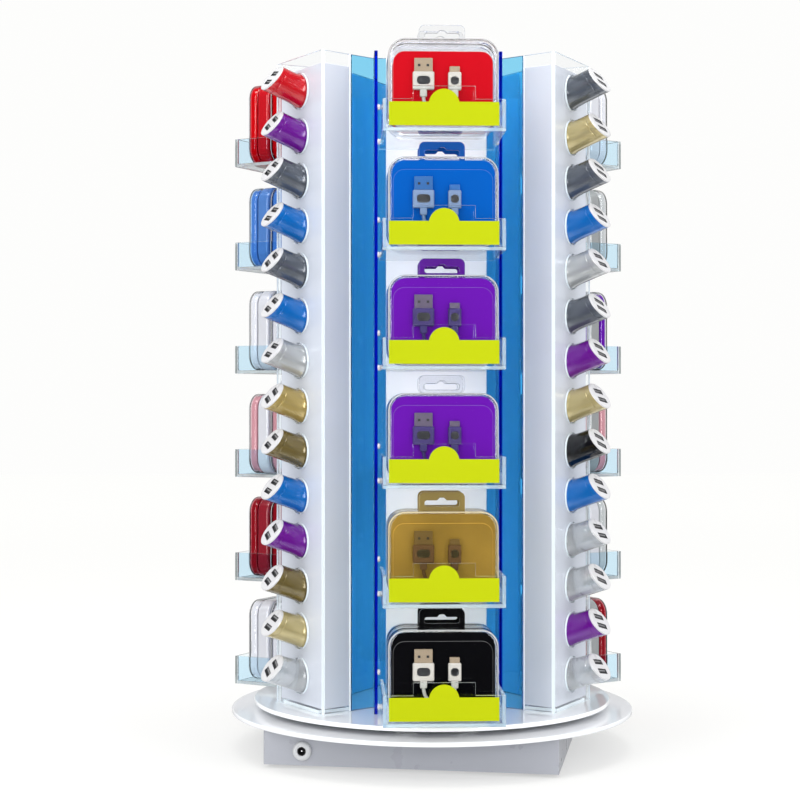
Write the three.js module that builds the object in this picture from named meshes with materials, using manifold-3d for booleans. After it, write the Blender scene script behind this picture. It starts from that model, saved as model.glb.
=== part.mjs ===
// Revolving counter display: a square base with a fixed disc, a turntable, and a three-sided tower.
// Three bays of six clear bins alternate with three clear corner boxes that each hold 14 car chargers.
// Millimetres, +Z up. The origin is on the turning axis, at the surface the feet stand on.
// The front bay faces -Y. Every bay and corner is drawn facing -Y and then turned about Z.

import * as THREE from 'three';
import * as BufferGeometryUtils from 'three/addons/utils/BufferGeometryUtils.js';
import Module from 'manifold-3d';

const wasm = await Module();
wasm.setup();

// ---------------------------------------------------------------- driving dimensions

const GAP = 0.3; // between pieces that touch
const SHEET = 3; // acrylic sheet
const TAU = 2 * Math.PI;
const DEG = Math.PI / 180;

// Base and turntable
const BASE_SIDE = 264;
const BASE_TURN = -11.9 * DEG; // the base box stands turned under the tower
const BASE_WALL = 4;
const FOOT_R = 11;
const FOOT_H = 2.5;
const FOOT_INSET = 24;
const FOOT_CHAMFER = 1;
const DISC_T = 4;
const FIXED_DISC_R = 190;
const FIXED_DISC_TOP = 38;
const DISC_BORE_R = 7.5; // in the fixed disc, round the shaft
const TURNTABLE_R = 169;
const TURNTABLE_TOP = 47;
const DISC_SIDES = 60;
const RACE_IN_R = 78;
const RACE_OUT_R = 98;
const RACE_SIDES = 32;
const SHAFT_R = 4;
const SHAFT_CLEARANCE = 0.5;
const SHAFT_IN_MOTOR = 12;
const HUB_R = 22;
const HUB_T = 2;
const MOTOR_R = 26;
const MOTOR_HEADROOM = 3;
const MOTOR_CHAMFER = 2;
const SMALL_SIDES = 16;

// Power inlet in the front wall of the base
const INLET_X = -96.5;
const INLET_Z = 16;
const INLET_FLANGE_R = 8.6;
const INLET_BARREL_R = 6;
const INLET_BORE_R = 4;
const INLET_PROUD = 4;
const INLET_CHAMFER = 1.2;
const INLET_LEAD_IN = 0.5;
const INLET_DEPTH = 14;
const INLET_BORE_DEPTH = 10;

// Tower
const TOWER_TOP = 641;
const TOWER_FOOT = TURNTABLE_TOP + GAP;
const VERTEX = { across: 57.4, out: 70.7 }; // where a bay meets the side of a corner box
const FLANK_OUT = 105.6;
const BACK_PANEL_W = 92;
const BAYS = { front: 0, right: 120 * DEG, left: -120 * DEG };
const CORNERS = { right: 60 * DEG, rear: 180 * DEG, left: -60 * DEG };

// Corner boxes
const BOX_FACE = 145.1; // outer face, from the axis
const BOX_HALF_W = 42.3; // at the outer face
const BOX_BACK = 111.5; // where the clear sides end and the blue plates begin
const INSERT_BACK = 109;
const INSERT_TOP = 620.7;
const INSERT_FOOT = TURNTABLE_TOP + 4.5;

// Chargers
const CHARGER_ROWS = 14;
const CHARGER_TOP_Z = 610;
const CHARGER_PITCH = 41;
const CHARGER_TILT = 18.5 * DEG;
const CHARGER_FACE_TILT = 36.5 * DEG; // the face is cut oblique to the barrel
const CHARGER_ROOT_R = 14.6;
const CHARGER_TIP_R = 12.9;
const CHARGER_REACH = 28; // from the box face to the middle of the charger face
const CHARGER_BURIED = 12; // how far a barrel goes in behind the box face
const CHARGER_SIDES = 14;
const HOLE_R = CHARGER_ROOT_R + 1;

// Bins and the cases that stand in them
const BIN_ROWS = 6;
const BIN_PITCH = 101.2;
const BIN_LOW_Z = 50.7; // underside of the lowest bin
const BIN_H = 27.1;
const BIN_W = 104.6;
const BIN_FACE = 189.5;
const BIN_SIDE_BACK = 100;
const BIN_TAB_W = 53;
const BIN_TAB_H = 11;
const CASE_W = 95;
const CASE_H = 78;
const CASE_R = 15;
const CASE_T = 24;
const CASE_GAP = 1;
const CASE_FACE = 177.8;
const TAB_W = 40;
const TAB_H = 15.5;
const TAB_T = 2;
const TAB_R = 5;
const SLOT_W = 30;
const SLOT_H = 7;
const SLOT_R = 2;
const SLOT_LIFT = 2; // from the top of the case to the slot

const OVERSHOOT = 1; // how far a cutting solid, or a piece that is fused to another, passes the face

// ---------------------------------------------------------------- materials

const material = (color, roughness, metalness = 0, opacity = 1) =>
  new THREE.MeshStandardMaterial({ color, roughness, metalness, opacity, transparent: opacity < 1 });

const MATERIALS = {
  white: () => material(0xe9ebf2, 0.25),
  clear: () => material(0xd7ebf5, 0.05, 0, 0.35),
  blue: () => material(0x0a6fd6, 0.08, 0, 0.8),
  steel: () => material(0xb4b6ba, 0.3, 1),
  rubber: () => material(0x2a2a2c, 0.8),
  inlet: () => material(0xd9dadc, 0.4),
  charger: () => material(0xc9a24a, 0.3, 0.6),
  goods: () => material(0x7a1fa0, 0.2),
};

// ---------------------------------------------------------------- solids

const root = new THREE.Group();

function toSolid(geometry) {
  const bare = geometry.clone();
  bare.deleteAttribute('normal');
  bare.deleteAttribute('uv');
  const merged = BufferGeometryUtils.mergeVertices(bare, 1e-4);
  return new wasm.Manifold(new wasm.Mesh({
    numProp: 3,
    vertProperties: new Float32Array(merged.attributes.position.array),
    triVerts: new Uint32Array(merged.index.array),
  }));
}

function toGeometry(solid) {
  const mesh = solid.getMesh();
  const geometry = new THREE.BufferGeometry();
  geometry.setAttribute('position', new THREE.BufferAttribute(new Float32Array(mesh.vertProperties), 3));
  geometry.setIndex(new THREE.BufferAttribute(new Uint32Array(mesh.triVerts), 1));
  return geometry;
}

const union = (geometries) => geometries.map(toSolid).reduce((a, b) => a.add(b));

// A box between two corners.
function block(x0, x1, y0, y1, z0, z1) {
  const box = new THREE.BoxGeometry(x1 - x0, y1 - y0, z1 - z0);
  return box.translate((x0 + x1) / 2, (y0 + y1) / 2, (z0 + z1) / 2);
}

// An outline of [x, y] points pushed up from z0 to z1.
function prism(points, z0, z1) {
  const shape = new THREE.Shape(points.map(([x, y]) => new THREE.Vector2(x, y)));
  const body = new THREE.ExtrudeGeometry(shape, { depth: z1 - z0, bevelEnabled: false });
  return body.translate(0, 0, z0);
}

// A profile of [radius, z] points turned about the Z axis.
function turned(profile, sides) {
  const points = profile.map(([r, z]) => new THREE.Vector2(r, z));
  return new THREE.LatheGeometry(points, sides).rotateX(Math.PI / 2);
}

function ring(innerR, outerR, z0, z1, sides) {
  return turned([[innerR, z0], [outerR, z0], [outerR, z1], [innerR, z1], [innerR, z0]], sides);
}

function addMesh(parent, name, geometry, slot) {
  const mesh = new THREE.Mesh(geometry, MATERIALS[slot]());
  mesh.name = name;
  parent.add(mesh);
}

function turnedGroup(angle) {
  const group = new THREE.Group();
  group.rotation.z = angle;
  root.add(group);
  return group;
}

// ---------------------------------------------------------------- base

function makeBase() {
  const base = turnedGroup(BASE_TURN);
  const half = BASE_SIDE / 2;
  const inner = half - BASE_WALL;
  const low = FOOT_H + GAP;
  const high = FIXED_DISC_TOP - DISC_T - GAP;
  const outside = toSolid(block(-half, half, -half, half, low, high));
  const inside = toSolid(block(-inner, inner, -inner, inner, low + BASE_WALL, high + OVERSHOOT));
  const inletHole = new THREE.CylinderGeometry(
    INLET_BARREL_R + GAP, INLET_BARREL_R + GAP, 4 * BASE_WALL, SMALL_SIDES);
  inletHole.translate(INLET_X, -half, INLET_Z);
  addMesh(base, 'base_box', toGeometry(outside.subtract(inside).subtract(toSolid(inletHole))), 'white');

  const footAt = half - FOOT_INSET;
  for (const [end, y] of [['front', -footAt], ['rear', footAt]]) {
    for (const [side, x] of [['left', -footAt], ['right', footAt]]) {
      const foot = turned([
        [0, 0], [FOOT_R - FOOT_CHAMFER, 0], [FOOT_R, FOOT_CHAMFER], [FOOT_R, FOOT_H], [0, FOOT_H],
      ], SMALL_SIDES);
      addMesh(base, `foot_${end}_${side}`, foot.translate(x, y, 0), 'rubber');
    }
  }

  // The inlet is turned about its own axis, which is then laid along the base's -Y.
  const shoulder = INLET_PROUD - 2 * INLET_CHAMFER;
  const bottom = INLET_PROUD - INLET_BORE_DEPTH;
  const inlet = turned([
    [0, -INLET_DEPTH], [INLET_BARREL_R, -INLET_DEPTH], [INLET_BARREL_R, GAP],
    [INLET_FLANGE_R, GAP], [INLET_FLANGE_R, shoulder],
    [INLET_FLANGE_R - INLET_CHAMFER, shoulder + INLET_CHAMFER],
    [INLET_BORE_R + INLET_CHAMFER, INLET_PROUD], [INLET_BORE_R, INLET_PROUD - INLET_LEAD_IN],
    [INLET_BORE_R, bottom], [0, bottom],
  ], SMALL_SIDES).rotateX(Math.PI / 2);
  addMesh(base, 'power_inlet', inlet.translate(INLET_X, -half, INLET_Z), 'inlet');
}

function makeTurntable() {
  const turntableLow = TURNTABLE_TOP - DISC_T;
  const motorLow = FOOT_H + GAP + BASE_WALL + GAP;
  const motorTop = FIXED_DISC_TOP - DISC_T - MOTOR_HEADROOM;
  const shaftLow = motorTop - SHAFT_IN_MOTOR;
  const pocketLow = shaftLow - 2 * SHAFT_CLEARANCE;
  const raceTop = turntableLow - GAP;
  const raceSplit = (FIXED_DISC_TOP + turntableLow) / 2;
  const boreR = SHAFT_R + SHAFT_CLEARANCE;

  addMesh(root, 'fixed_disc',
    ring(DISC_BORE_R, FIXED_DISC_R, FIXED_DISC_TOP - DISC_T, FIXED_DISC_TOP, DISC_SIDES), 'white');
  addMesh(root, 'drive_motor', turned([
    [0, motorLow], [MOTOR_R, motorLow], [MOTOR_R, motorTop - MOTOR_CHAMFER],
    [MOTOR_R - MOTOR_CHAMFER, motorTop],
    [boreR, motorTop], [boreR, pocketLow], [0, pocketLow],
  ], SMALL_SIDES), 'steel');
  addMesh(root, 'drive_shaft', turned([
    [0, shaftLow], [SHAFT_R, shaftLow], [SHAFT_R, raceTop - HUB_T], [HUB_R, raceTop - HUB_T],
    [HUB_R, raceTop], [0, raceTop],
  ], SMALL_SIDES), 'steel');
  addMesh(root, 'bearing_lower_race',
    ring(RACE_IN_R, RACE_OUT_R, FIXED_DISC_TOP + GAP, raceSplit - GAP, RACE_SIDES), 'steel');
  addMesh(root, 'bearing_upper_race',
    ring(RACE_IN_R, RACE_OUT_R, raceSplit + GAP, raceTop, RACE_SIDES), 'steel');
  addMesh(root, 'turntable_disc', turned([
    [0, turntableLow], [TURNTABLE_R, turntableLow], [TURNTABLE_R, TURNTABLE_TOP], [0, TURNTABLE_TOP],
  ], DISC_SIDES), 'white');
}

// ---------------------------------------------------------------- tower core

// One sheet-thick plate of the given length, starting at (x, y) and running along the angle,
// with its thickness to the right of that direction.
function plate(x, y, angle, length, thickness) {
  const box = block(0, length, -thickness, 0, TOWER_FOOT, TOWER_TOP);
  return box.rotateZ(angle).translate(x, y, 0);
}

// The outer corner of a charger box, in the frame of the bay beside it.
function boxCornerFromBay() {
  const turn = CORNERS.right;
  return {
    across: BOX_FACE * Math.sin(turn) - BOX_HALF_W * Math.cos(turn),
    out: BOX_FACE * Math.cos(turn) + BOX_HALF_W * Math.sin(turn),
  };
}

function makeChannel(bay, name) {
  const { across, out } = VERTEX;
  const corner = boxCornerFromBay();
  const run = Math.hypot(corner.across - across, corner.out - out);
  const angle = Math.atan2(-(corner.out - out), corner.across - across);
  const clearRun = run * (BOX_FACE - BOX_BACK) / (BOX_FACE - vertexFromCorner().out);
  const start = SHEET; // the ear starts inside the corner of the channel
  const earLength = run - clearRun + start - GAP - SHEET * boxTaper;
  const ear = plate(0, 0, 0, earLength, SHEET);
  const startX = across - start * Math.cos(angle);
  const startY = -out - start * Math.sin(angle);
  const rightEar = ear.clone().translate(0, SHEET, 0).rotateZ(angle).translate(startX, startY, 0);
  const leftEar = ear.clone().rotateZ(Math.PI - angle).translate(-startX, startY, 0);
  const channel = union([
    block(-across, across, -out, SHEET - out, TOWER_FOOT, TOWER_TOP),
    block(across - SHEET, across, -FLANK_OUT, SHEET - out, TOWER_FOOT, TOWER_TOP),
    block(-across, SHEET - across, -FLANK_OUT, SHEET - out, TOWER_FOOT, TOWER_TOP),
    rightEar,
    leftEar,
  ]);
  addMesh(bay, `core_channel_${name}`, toGeometry(channel), 'blue');

  const panelY = -out - GAP;
  const half = BACK_PANEL_W / 2;
  addMesh(bay, `back_panel_${name}`,
    block(-half, half, panelY - SHEET, panelY, TOWER_FOOT, TOWER_TOP), 'white');
}

// The vertex of a bay, in the frame of the charger box beside it.
function vertexFromCorner() {
  const turn = CORNERS.right;
  return {
    across: VERTEX.out * Math.sin(turn) - VERTEX.across * Math.cos(turn),
    out: VERTEX.out * Math.cos(turn) + VERTEX.across * Math.sin(turn),
  };
}

// ---------------------------------------------------------------- charger boxes

const boxTaper = (BOX_HALF_W - vertexFromCorner().across) / (BOX_FACE - vertexFromCorner().out);
const boxHalfWidth = (out) => BOX_HALF_W - boxTaper * (BOX_FACE - out);
const sideInset = SHEET * Math.hypot(1, boxTaper);

// Turns a shape drawn along +Z so that it leaves the box face at the chargers' tilt.
function alongCharger(geometry, z) {
  return geometry.rotateX(Math.PI / 2 - CHARGER_TILT).translate(0, -BOX_FACE, z);
}

const chargerHeights = Array.from({ length: CHARGER_ROWS }, (_, i) => CHARGER_TOP_Z - i * CHARGER_PITCH);

function makeChargerBox(corner, name) {
  const face = BOX_FACE;
  const faceIn = face - SHEET;
  const wall = (out) => boxHalfWidth(out) - sideInset;
  const shell = prism([
    [boxHalfWidth(BOX_BACK), -BOX_BACK], [wall(BOX_BACK), -BOX_BACK], [wall(faceIn), -faceIn],
    [-wall(faceIn), -faceIn], [-wall(BOX_BACK), -BOX_BACK], [-boxHalfWidth(BOX_BACK), -BOX_BACK],
    [-BOX_HALF_W, -face], [BOX_HALF_W, -face],
  ], TOWER_FOOT, TOWER_TOP);
  const floorBack = boxHalfWidth(BOX_BACK) - OVERSHOOT;
  const floorFront = boxHalfWidth(faceIn) - OVERSHOOT;
  const floor = prism([
    [floorBack, -BOX_BACK], [-floorBack, -BOX_BACK],
    [-floorFront, -faceIn - OVERSHOOT], [floorFront, -faceIn - OVERSHOOT],
  ], TOWER_FOOT, TOWER_FOOT + SHEET);
  let box = union([shell, floor]);
  for (const z of chargerHeights) {
    const drill = new THREE.CylinderGeometry(HOLE_R, HOLE_R, 6 * SHEET, CHARGER_SIDES).rotateX(Math.PI / 2);
    box = box.subtract(toSolid(alongCharger(drill, z)));
  }
  addMesh(corner, `charger_box_${name}`, toGeometry(box), 'clear');
}

// One charger along +Z, with the box face at z = 0 and its own face cut oblique.
function chargerSolid(z) {
  const beyond = CHARGER_ROOT_R; // the cut takes this much off again
  const length = CHARGER_BURIED + CHARGER_REACH + beyond;
  const barrel = new THREE.CylinderGeometry(CHARGER_TIP_R, CHARGER_ROOT_R, length, CHARGER_SIDES);
  barrel.rotateX(Math.PI / 2).translate(0, 0, length / 2 - CHARGER_BURIED);
  const reach = 2 * CHARGER_REACH;
  const cut = block(-reach, reach, -reach, reach, 0, reach);
  cut.rotateX(-(CHARGER_FACE_TILT - CHARGER_TILT)).translate(0, 0, CHARGER_REACH);
  const solid = toSolid(alongCharger(barrel, z));
  return solid.subtract(toSolid(alongCharger(cut, z)));
}

function makeChargerInsert(corner, name) {
  const front = BOX_FACE - SHEET - GAP;
  const half = (out) => boxHalfWidth(out) - sideInset - 1.3 * GAP;
  let insert = toSolid(prism([
    [half(INSERT_BACK), -INSERT_BACK], [-half(INSERT_BACK), -INSERT_BACK],
    [-half(front), -front], [half(front), -front],
  ], INSERT_FOOT, INSERT_TOP));
  for (const z of chargerHeights) {
    insert = insert.add(chargerSolid(z));
  }
  addMesh(corner, `charger_insert_${name}`, toGeometry(insert), 'charger');
}

// ---------------------------------------------------------------- bins and cases

function makeBin(bay, name, z) {
  const half = BIN_W / 2;
  const back = VERTEX.out + 2 * GAP + SHEET;
  const top = z + BIN_H;
  const tabHalf = BIN_TAB_W / 2;
  // The front wall, with its raised middle, is drawn upright and stood on the bin's front edge.
  const front = prism([
    [-half, z], [half, z], [half, top], [tabHalf, top], [tabHalf, top + BIN_TAB_H],
    [-tabHalf, top + BIN_TAB_H], [-tabHalf, top], [-half, top],
  ], 0, SHEET).rotateX(Math.PI / 2).translate(0, SHEET - BIN_FACE, 0);
  const bin = union([
    block(-half, half, OVERSHOOT - BIN_FACE, -back, z, z + SHEET),
    block(-half, SHEET - half, OVERSHOOT - BIN_FACE, -BIN_SIDE_BACK, z, top),
    block(half - SHEET, half, OVERSHOOT - BIN_FACE, -BIN_SIDE_BACK, z, top),
    front,
  ]);
  addMesh(bay, name, toGeometry(bin), 'clear');
}

function roundedOutline(width, low, high, radius) {
  const half = width / 2;
  const shape = new THREE.Shape();
  shape.moveTo(-half + radius, low);
  shape.lineTo(half - radius, low);
  shape.absarc(half - radius, low + radius, radius, -TAU / 4, 0, false);
  shape.absarc(half - radius, high - radius, radius, 0, TAU / 4, false);
  shape.absarc(radius - half, high - radius, radius, TAU / 4, TAU / 2, false);
  shape.absarc(radius - half, low + radius, radius, TAU / 2, 0.75 * TAU, false);
  return shape;
}

// Two cases stand one behind the other, each with a hanging tab at its back edge.
function makeCasePair(bay, name, z) {
  const low = z + SHEET + GAP;
  const high = low + CASE_H;
  const upright = (shape, face, depth, curveSegments) =>
    new THREE.ExtrudeGeometry(shape, { depth, bevelEnabled: false, curveSegments })
      .rotateX(Math.PI / 2).translate(0, depth - face, 0);
  const pieces = [upright(roundedOutline(CASE_W, low, high, CASE_R), CASE_FACE, 2 * CASE_T + CASE_GAP, 3)];
  for (const face of [CASE_FACE, CASE_FACE - CASE_T - CASE_GAP]) {
    const tab = roundedOutline(TAB_W, high - CASE_R / 2, high + TAB_H, TAB_R);
    tab.holes.push(roundedOutline(SLOT_W, high + SLOT_LIFT, high + SLOT_LIFT + SLOT_H, SLOT_R));
    pieces.push(upright(tab, face - CASE_T + TAB_T, TAB_T, 1));
  }
  addMesh(bay, name, toGeometry(union(pieces)), 'goods');
}

// ---------------------------------------------------------------- assembly

makeBase();
makeTurntable();

for (const [name, angle] of Object.entries(BAYS)) {
  const bay = turnedGroup(angle);
  makeChannel(bay, name);
  for (let row = 1; row <= BIN_ROWS; row += 1) {
    const z = BIN_LOW_Z + (BIN_ROWS - row) * BIN_PITCH;
    makeBin(bay, `bin_${name}_${row}`, z);
    makeCasePair(bay, `case_pair_${name}_${row}`, z);
  }
}

for (const [name, angle] of Object.entries(CORNERS)) {
  const corner = turnedGroup(angle);
  makeChargerBox(corner, name);
  makeChargerInsert(corner, name);
}

export default root;
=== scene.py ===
"""Looks of the revolving counter display. Metres, in the CAD frame: the front bay faces -Y, +Z is up.

Each repeated piece is drawn once, facing -Y, and turned about Z to its bay or corner.
"""
import math

import bmesh
import bpy
from mathutils import Matrix, Vector


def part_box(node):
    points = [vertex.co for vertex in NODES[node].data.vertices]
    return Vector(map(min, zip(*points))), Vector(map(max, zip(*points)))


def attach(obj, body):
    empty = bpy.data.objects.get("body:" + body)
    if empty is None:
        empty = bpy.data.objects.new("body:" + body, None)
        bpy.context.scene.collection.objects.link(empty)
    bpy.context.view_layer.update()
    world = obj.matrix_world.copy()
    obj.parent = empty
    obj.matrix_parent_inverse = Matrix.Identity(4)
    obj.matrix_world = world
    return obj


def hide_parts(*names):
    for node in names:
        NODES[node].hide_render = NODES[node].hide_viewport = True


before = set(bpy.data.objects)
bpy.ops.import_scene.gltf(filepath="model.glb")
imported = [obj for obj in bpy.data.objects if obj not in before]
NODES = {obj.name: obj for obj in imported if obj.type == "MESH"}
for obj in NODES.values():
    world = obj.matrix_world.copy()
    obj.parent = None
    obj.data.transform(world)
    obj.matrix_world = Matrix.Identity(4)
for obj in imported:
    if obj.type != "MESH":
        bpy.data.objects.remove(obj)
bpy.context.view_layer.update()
MM = 0.001


# ------------------------------------------------------------------ sizes read from the frame

base_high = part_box("base_box")[1]
panel_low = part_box("back_panel_front")[0]
bin_low, bin_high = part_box("bin_front_1")
case_low, case_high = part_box("case_pair_front_1")
rear_box_low, rear_box_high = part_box("charger_box_rear")
rear_insert_low, rear_insert_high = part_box("charger_insert_rear")


# ------------------------------------------------------------------ driving dimensions

SHEET = 3 * MM
SEAM = 0.05 * MM  # glue line between two sheets
MERGE = 0.001 * MM  # points closer than this are one

BAY_TURN = {"front": 0.0, "right": 120.0, "left": -120.0}  # degrees about Z
CORNER_TURN = {"right": 60.0, "rear": 180.0, "left": -60.0}

BASE_TURN = math.radians(-11.9)  # the base box stands turned under the tower
INLET_ALONG = -96.5 * MM  # the inlet's place on the base's front wall, from the wall's middle
DISC_BORE = 7.5 * MM  # in the fixed disc, round the shaft

ROWS = 6
BIN_TAB_H = 11 * MM
BIN_TAB_W = 53 * MM
BIN_W = bin_high.x - bin_low.x
BIN_H = bin_high.z - bin_low.z - BIN_TAB_H
BIN_FACE = bin_low.y
BIN_SIDE_BACK = -100 * MM  # where the bin's sides end, at the flank plates
FLANK_INNER = 54.4 * MM  # inner face of a bay's flank plates, from the bay's middle
ROW_LOW = [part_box(f"bin_front_{row}")[0].z for row in range(1, ROWS + 1)]
SCREW_Y = -103 * MM
SCREW_UPS = (3 * MM, 34 * MM)  # heights of a bin's two screws over its underside

BOX_FACE = -rear_box_high.y  # outer face of a clear corner box
BOX_BACK = -rear_box_low.y
BOX_HALF_FRONT = (rear_box_high.x - rear_box_low.x) / 2
BOX_HALF_BACK = 36.8 * MM  # half the width where the clear sides meet the blue plates

CHARGER_HEIGHTS = [(610 - 41 * i) * MM for i in range(14)]
CHARGER_TILT = math.radians(18.5)
CHARGER_FACE_TILT = math.radians(18.0)  # the face's slant from square to the barrel
CHARGER_LEAN = {"right": -6.0}  # degrees that the chargers of a corner lean towards the front
CHARGER_REACH = 28 * MM
HOLE_R = 15.6 * MM

CASE_W = case_high.x - case_low.x
CASE_H = 78 * MM
CASE_R = 15 * MM
CASE_T = 24 * MM
CASE_GAP = 1 * MM  # between the two cases in a bin
CASE_CENTER = (0, CASE_H / 2)
LID_T = 11 * MM
TAB_RISE = 15.5 * MM  # of the hanging tab over the case


# ------------------------------------------------------------------ node helpers

def link(tree, a, b):
    tree.links.new(a, b)


def do_math(tree, operation, a, b=None):
    """A Math node. Each operand is a number or another node's output."""
    node = tree.nodes.new("ShaderNodeMath")
    node.operation = operation
    for socket, value in zip(node.inputs, (a, b)):
        if value is None:
            continue
        if isinstance(value, (int, float)):
            socket.default_value = value
        else:
            link(tree, value, socket)
    return node.outputs[0]


def spread(tree, factor, low, high):
    """Maps a 0..1 factor to low..high."""
    node = tree.nodes.new("ShaderNodeMapRange")
    node.inputs["To Min"].default_value = low
    node.inputs["To Max"].default_value = high
    link(tree, factor, node.inputs["Value"])
    return node.outputs["Result"]


def ramp(tree, value, start, end):
    """0 at start to 1 at end, smoothed."""
    node = tree.nodes.new("ShaderNodeMapRange")
    node.interpolation_type = "SMOOTHSTEP"
    node.inputs["From Min"].default_value = start
    node.inputs["From Max"].default_value = end
    link(tree, value, node.inputs["Value"])
    return node.outputs["Result"]


def noise(tree, scale, detail=4.0):
    """Noise in the object's own space, so that it rides with the piece."""
    coords = tree.nodes.new("ShaderNodeTexCoord")
    texture = tree.nodes.new("ShaderNodeTexNoise")
    texture.inputs["Scale"].default_value = scale
    texture.inputs["Detail"].default_value = detail
    link(tree, coords.outputs["Object"], texture.inputs["Vector"])
    return texture.outputs["Fac"]


def mix_colors(tree, factor, a, b):
    """A colour from a, at factor 0, to b. Each is a colour or another node's output."""
    node = tree.nodes.new("ShaderNodeMix")
    node.data_type = "RGBA"
    link(tree, factor, node.inputs["Factor"])
    for socket, value in zip("AB", (a, b)):
        if isinstance(value, tuple):
            node.inputs[socket].default_value = (*value, 1)
        else:
            link(tree, value, node.inputs[socket])
    return node.outputs["Result"]


def add_bump(tree, bsdf, factor, strength, distance):
    bump = tree.nodes.new("ShaderNodeBump")
    bump.inputs["Strength"].default_value = strength
    bump.inputs["Distance"].default_value = distance
    link(tree, factor, bump.inputs["Height"])
    link(tree, bump.outputs["Normal"], bsdf.inputs["Normal"])


def new_material(name):
    mat = bpy.data.materials.new(name)
    mat.use_nodes = True
    return mat, mat.node_tree, mat.node_tree.nodes["Principled BSDF"]


def scaled(color, k):
    return tuple(min(1.0, c * k) for c in color)


def lightened(color, k):
    """A colour mixed with a share k of white."""
    return tuple(c + (1 - c) * k for c in color)


# ------------------------------------------------------------------ materials

COAT_ROUGH = 0.04
DRIFT_SCALE = 0.2  # the colour drift's noise, over the gloss's own
PEEL_SCALE = 8  # the orange peel's noise, over the gloss's own
PEEL_DEPTH = 0.1 * MM
WAVE_DEPTH = 0.2 * MM


def gloss(name, color, rough=0.12, vary=0.06, coat=0.0, bump=0.03, metallic=0.0, scale=60, specular=0.5,
          uneven=0.3, transmission=0.0, ior=1.5):
    """Moulded or cast plastic, or lacquer: slight colour drift, uneven gloss and faint orange peel.

    vary and uneven are the shares by which colour and roughness drift, and scale how fine the drift is.
    """
    mat, tree, bsdf = new_material(name)
    uniform = {"Metallic": metallic, "Specular IOR Level": specular, "Coat Weight": coat,
               "Coat Roughness": COAT_ROUGH, "Transmission Weight": transmission, "IOR": ior}
    for socket, value in uniform.items():
        bsdf.inputs[socket].default_value = value
    dark, light = scaled(color, 1 - vary), scaled(color, 1 + vary)
    link(tree, mix_colors(tree, noise(tree, scale * DRIFT_SCALE), dark, light), bsdf.inputs["Base Color"])
    link(tree, spread(tree, noise(tree, scale), rough * (1 - uneven), rough * (1 + uneven)),
         bsdf.inputs["Roughness"])
    add_bump(tree, bsdf, noise(tree, scale * PEEL_SCALE, 2), bump, PEEL_DEPTH)
    return mat


def clear(name, color, rough=0.01, ior=1.49, scale=25, bump=0.02, through=None):
    """Clear or tinted acrylic: polished, with the slight waviness of cast sheet.

    through is the share of red, green and blue that gets through one sheet's thickness.
    """
    mat, tree, bsdf = new_material(name)
    bsdf.inputs["Base Color"].default_value = (*color, 1)
    bsdf.inputs["Transmission Weight"].default_value = 1.0
    bsdf.inputs["IOR"].default_value = ior
    link(tree, spread(tree, noise(tree, scale * 4), rough * 0.4, rough * 1.6), bsdf.inputs["Roughness"])
    add_bump(tree, bsdf, noise(tree, scale, 2), bump, WAVE_DEPTH)
    if through:
        lost = [-math.log(share) / SHEET for share in through]
        density = 1.02 * max(lost)  # a little over the largest, so that no colour channel is zero
        absorb = tree.nodes.new("ShaderNodeVolumeAbsorption")
        absorb.inputs["Color"].default_value = (*(1 - a / density for a in lost), 1)
        absorb.inputs["Density"].default_value = density
        link(tree, absorb.outputs["Volume"], tree.nodes["Material Output"].inputs["Volume"])
    return mat


# White sheet, in lit and shaded copies of one white: the different shades and their bluish cast are painted
# light and shade, set as the light on the real ones falls.
INSERT = gloss("white_insert", (0.63, 0.665, 0.745), rough=0.22, vary=0.025, bump=0.02)
DISC_WHITE = gloss("white_disc", (0.81, 0.825, 0.86), rough=0.12, vary=0.015, coat=0.3, bump=0.008)
TURNTABLE_WHITE = gloss("white_turntable", (0.94, 0.96, 0.985), rough=0.06, vary=0.015, coat=0.8, bump=0.008)
# The base's dark grey is painted shade, for the shade of the discs above it.
BASE_WHITE = gloss("base_white", (0.34, 0.352, 0.395), rough=0.3, vary=0.025, bump=0.05)
PANEL_WHITE = gloss("white_panel", (0.92, 0.945, 0.97), rough=0.15, vary=0.015, coat=0.2, bump=0.01)
# The back panels glow faintly: painted light, for the light that reaches them through the clear cases.
panel_sockets = PANEL_WHITE.node_tree.nodes["Principled BSDF"].inputs
panel_sockets["Emission Color"].default_value = (0.9, 0.96, 1.0, 1)
panel_sockets["Emission Strength"].default_value = 0.12

# Clear sheet. Low refraction keeps the white boards behind the flat sheets free of dark bands.
CLEAR = clear("clear_acrylic", (0.985, 0.995, 1.0), ior=1.12)
BIN_CLEAR = clear("bin_acrylic", (0.93, 0.975, 0.995), ior=1.15)
BIN_SIDE = clear("bin_side_acrylic", (0.70, 0.87, 0.97), ior=1.15)
BLUE = clear("blue_acrylic", (1.0, 1.0, 1.0), through=(0.30, 0.74, 0.985))

# Sheet edges and rims: their pale, bright colours are painted highlights, for the light that gathers in the
# edges and glints on the rims. The tab's grey edge is painted shade, the dark lines that its clear edges
# show.
SHEET_EDGE = gloss("acrylic_edge", (0.84, 0.92, 0.97), rough=0.18, vary=0.03, bump=0.02)
BIN_EDGE = gloss("bin_edge", (0.88, 0.97, 1.0), rough=0.06, vary=0.03, bump=0.02, transmission=0.72, ior=1.3)
LID_RIM = gloss("lid_rim", (0.93, 0.95, 0.97), rough=0.08, vary=0.03, bump=0.01, transmission=0.55)
GOLD_RIM = gloss("gold_lid_rim", (0.95, 0.80, 0.50), rough=0.08, vary=0.03, bump=0.01, transmission=0.45)
TAB_EDGE = gloss("tab_edge", (0.30, 0.33, 0.38), rough=0.08, vary=0.03, bump=0.01, transmission=0.4)

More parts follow.
